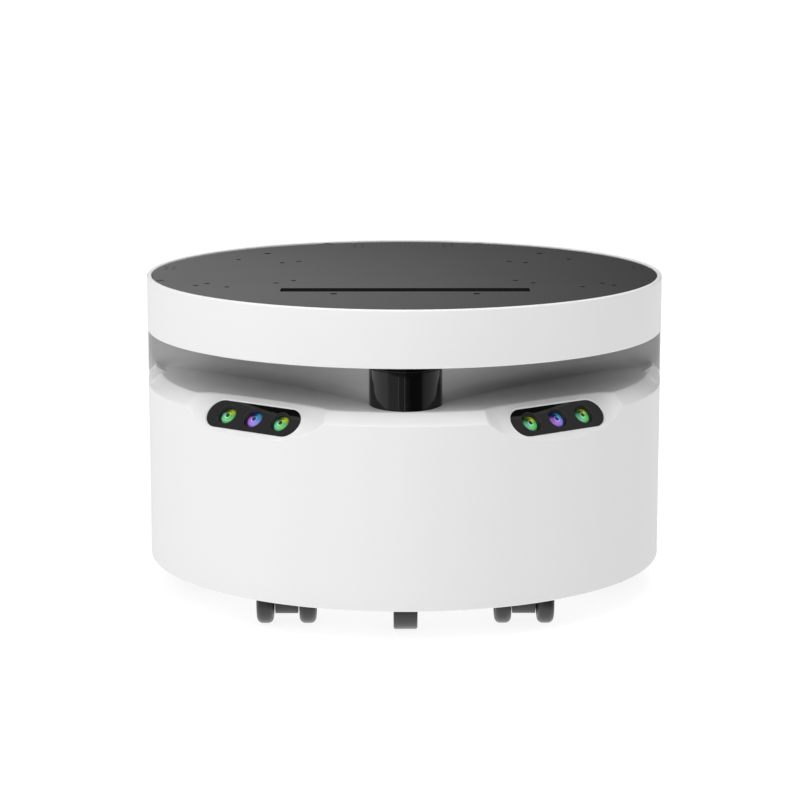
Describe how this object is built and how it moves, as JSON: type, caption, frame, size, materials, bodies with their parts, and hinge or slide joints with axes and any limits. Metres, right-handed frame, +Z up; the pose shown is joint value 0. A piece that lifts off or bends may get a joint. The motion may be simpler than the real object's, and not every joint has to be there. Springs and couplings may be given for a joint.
{
  "type": "mobile robot base with scanning lidar",
  "caption": "Round white wheeled robot base with a spinning lidar in a front slot, angled depth camera windows and a flat dark load deck.",
  "frame": {"origin": "on the floor, under the middle of the round body", "axes": "+Z up, -Y towards the front with the lidar, +X to the right seen from the front"},
  "size_m": [0.5, 0.5, 0.305],
  "materials": {
    "white_shell": "smooth moulded gloss",
    "grey_shell": "smooth moulded satin",
    "black_steel": "black oxide",
    "deck_paint": "satin powder coat",
    "steel": "satin",
    "zinc_steel": "zinc plated",
    "aluminium": "machined",
    "black_plastic": "fine texture",
    "dark_plastic": "fine texture",
    "window_black": "polished",
    "lidar_smoke": "polished, dark",
    "lens_glass": "coated",
    "button_metal": "polished",
    "contact_metal": "bright",
    "board": "solder mask",
    "battery_case": "moulded",
    "motor_case": "cast, satin",
    "caster_tread": "smooth",
    "drive_tread": "grooved"
  },
  "bodies": {
    "chassis": {"lower_shell": "white_shell", "neck_cover": "grey_shell", "top_ring": "white_shell", "top_deck": "deck_paint", "deck_screws": "black_steel", "base_plate": "steel", "frame_posts": "aluminium", "mid_tray": "aluminium", "battery_pack": "battery_case", "controller_box": "motor_case", "motor_driver": "board", "lidar_bracket": "steel", "lidar_housing": "black_plastic", "lidar_window": "lidar_smoke", "lidar_cap": "window_black", "lidar_motor": "motor_case", "lidar_board": "board", "rear_panel": "black_plastic", "charge_block": "black_plastic", "charging_contacts": "contact_metal", "caster_mounts": "zinc_steel", "camera_faceplates": "window_black", "camera_lens_barrels": "black_plastic", "camera_lens_glass": "lens_glass", "camera_housings": "aluminium", "drive_bracket_right": "steel", "suspension_spring_right": "zinc_steel", "drive_bracket_left": "steel", "suspension_spring_left": "zinc_steel"},
    "lidar_head": {"lidar_rotor": "dark_plastic", "lidar_optics": "lens_glass", "lidar_encoder_ring": "zinc_steel"},
    "button": {"power_button": "button_metal"},
    "arm_right": {"swing_arm_right": "aluminium", "drive_axle_right": "steel"},
    "drive_wheel_right": {"drive_hub_right": "motor_case", "drive_tyre_right": "drive_tread"},
    "arm_left": {"swing_arm_left": "aluminium", "drive_axle_left": "steel"},
    "drive_wheel_left": {"drive_hub_left": "motor_case", "drive_tyre_left": "drive_tread"},
    "caster_front_left": {"caster_fork_front_left": "black_plastic", "caster_axle_front_left": "zinc_steel"},
    "wheel_front_left_a": {"caster_wheel_front_left_a": "caster_tread"},
    "wheel_front_left_b": {"caster_wheel_front_left_b": "caster_tread"},
    "caster_front_right": {"caster_fork_front_right": "black_plastic", "caster_axle_front_right": "zinc_steel"},
    "wheel_front_right_a": {"caster_wheel_front_right_a": "caster_tread"},
    "wheel_front_right_b": {"caster_wheel_front_right_b": "caster_tread"},
    "caster_rear_left": {"caster_fork_rear_left": "black_plastic", "caster_axle_rear_left": "zinc_steel"},
    "wheel_rear_left_a": {"caster_wheel_rear_left_a": "caster_tread"},
    "wheel_rear_left_b": {"caster_wheel_rear_left_b": "caster_tread"},
    "caster_rear_right": {"caster_fork_rear_right": "black_plastic", "caster_axle_rear_right": "zinc_steel"},
    "wheel_rear_right_a": {"caster_wheel_rear_right_a": "caster_tread"},
    "wheel_rear_right_b": {"caster_wheel_rear_right_b": "caster_tread"},
    "caster_front_centre": {"caster_fork_front_centre": "black_steel", "caster_axle_front_centre": "zinc_steel"},
    "wheel_front_centre": {"caster_wheel_front_centre": "caster_tread"}
  },
  "joints": [
    {"name": "lidar_spin", "type": "hinge", "parent": "chassis", "child": "lidar_head", "pos_m": [0, -0.203, 0.2], "axis": [0, 0, 1], "continuous": true},
    {"name": "power_button_press", "type": "slide", "parent": "chassis", "child": "button", "axis": [0, -1, 0], "range_m": [0, 0.003], "stiffness_N_per_m": 400, "springref_m": -0.003},
    {"name": "suspension_right", "type": "hinge", "parent": "chassis", "child": "arm_right", "pos_m": [0.164, -0.1, 0.085], "axis": [1, 0, 0], "range_deg": [-3, 3], "stiffness_Nm_per_rad": 180, "springref_deg": -2.58, "deforming": ["suspension_spring_right"]},
    {"name": "drive_right", "type": "hinge", "parent": "arm_right", "child": "drive_wheel_right", "pos_m": [0.205, 0, 0.08], "axis": [1, 0, 0], "continuous": true},
    {"name": "suspension_left", "type": "hinge", "parent": "chassis", "child": "arm_left", "pos_m": [-0.164, -0.1, 0.085], "axis": [1, 0, 0], "range_deg": [-3, 3], "stiffness_Nm_per_rad": 180, "springref_deg": -2.58, "deforming": ["suspension_spring_left"]},
    {"name": "drive_left", "type": "hinge", "parent": "arm_left", "child": "drive_wheel_left", "pos_m": [-0.205, 0, 0.08], "axis": [1, 0, 0], "continuous": true},
    {"name": "swivel_front_left", "type": "hinge", "parent": "chassis", "child": "caster_front_left", "pos_m": [-0.11, -0.15, 0.055], "axis": [0, 0, 1], "continuous": true},
    {"name": "roll_front_left_a", "type": "hinge", "parent": "caster_front_left", "child": "wheel_front_left_a", "pos_m": [-0.11, -0.174, 0.025], "axis": [1, 0, 0], "continuous": true},
    {"name": "roll_front_left_b", "type": "hinge", "parent": "caster_front_left", "child": "wheel_front_left_b", "pos_m": [-0.11, -0.174, 0.025], "axis": [1, 0, 0], "continuous": true},
    {"name": "swivel_front_right", "type": "hinge", "parent": "chassis", "child": "caster_front_right", "pos_m": [0.11, -0.15, 0.055], "axis": [0, 0, 1], "continuous": true},
    {"name": "roll_front_right_a", "type": "hinge", "parent": "caster_front_right", "child": "wheel_front_right_a", "pos_m": [0.11, -0.174, 0.025], "axis": [1, 0, 0], "continuous": true},
    {"name": "roll_front_right_b", "type": "hinge", "parent": "caster_front_right", "child": "wheel_front_right_b", "pos_m": [0.11, -0.174, 0.025], "axis": [1, 0, 0], "continuous": true},
    {"name": "swivel_rear_left", "type": "hinge", "parent": "chassis", "child": "caster_rear_left", "pos_m": [-0.11, 0.15, 0.055], "axis": [0, 0, 1], "continuous": true},
    {"name": "roll_rear_left_a", "type": "hinge", "parent": "caster_rear_left", "child": "wheel_rear_left_a", "pos_m": [-0.11, 0.126, 0.025], "axis": [1, 0, 0], "continuous": true},
    {"name": "roll_rear_left_b", "type": "hinge", "parent": "caster_rear_left", "child": "wheel_rear_left_b", "pos_m": [-0.11, 0.126, 0.025], "axis": [1, 0, 0], "continuous": true},
    {"name": "swivel_rear_right", "type": "hinge", "parent": "chassis", "child": "caster_rear_right", "pos_m": [0.11, 0.15, 0.055], "axis": [0, 0, 1], "continuous": true},
    {"name": "roll_rear_right_a", "type": "hinge", "parent": "caster_rear_right", "child": "wheel_rear_right_a", "pos_m": [0.11, 0.126, 0.025], "axis": [1, 0, 0], "continuous": true},
    {"name": "roll_rear_right_b", "type": "hinge", "parent": "caster_rear_right", "child": "wheel_rear_right_b", "pos_m": [0.11, 0.126, 0.025], "axis": [1, 0, 0], "continuous": true},
    {"name": "swivel_front_centre", "type": "hinge", "parent": "chassis", "child": "caster_front_centre", "pos_m": [0, -0.17, 0.055], "axis": [0, 0, 1], "continuous": true},
    {"name": "roll_front_centre", "type": "hinge", "parent": "caster_front_centre", "child": "wheel_front_centre", "pos_m": [0, -0.195, 0.025], "axis": [1, 0, 0], "continuous": true}
  ]
}
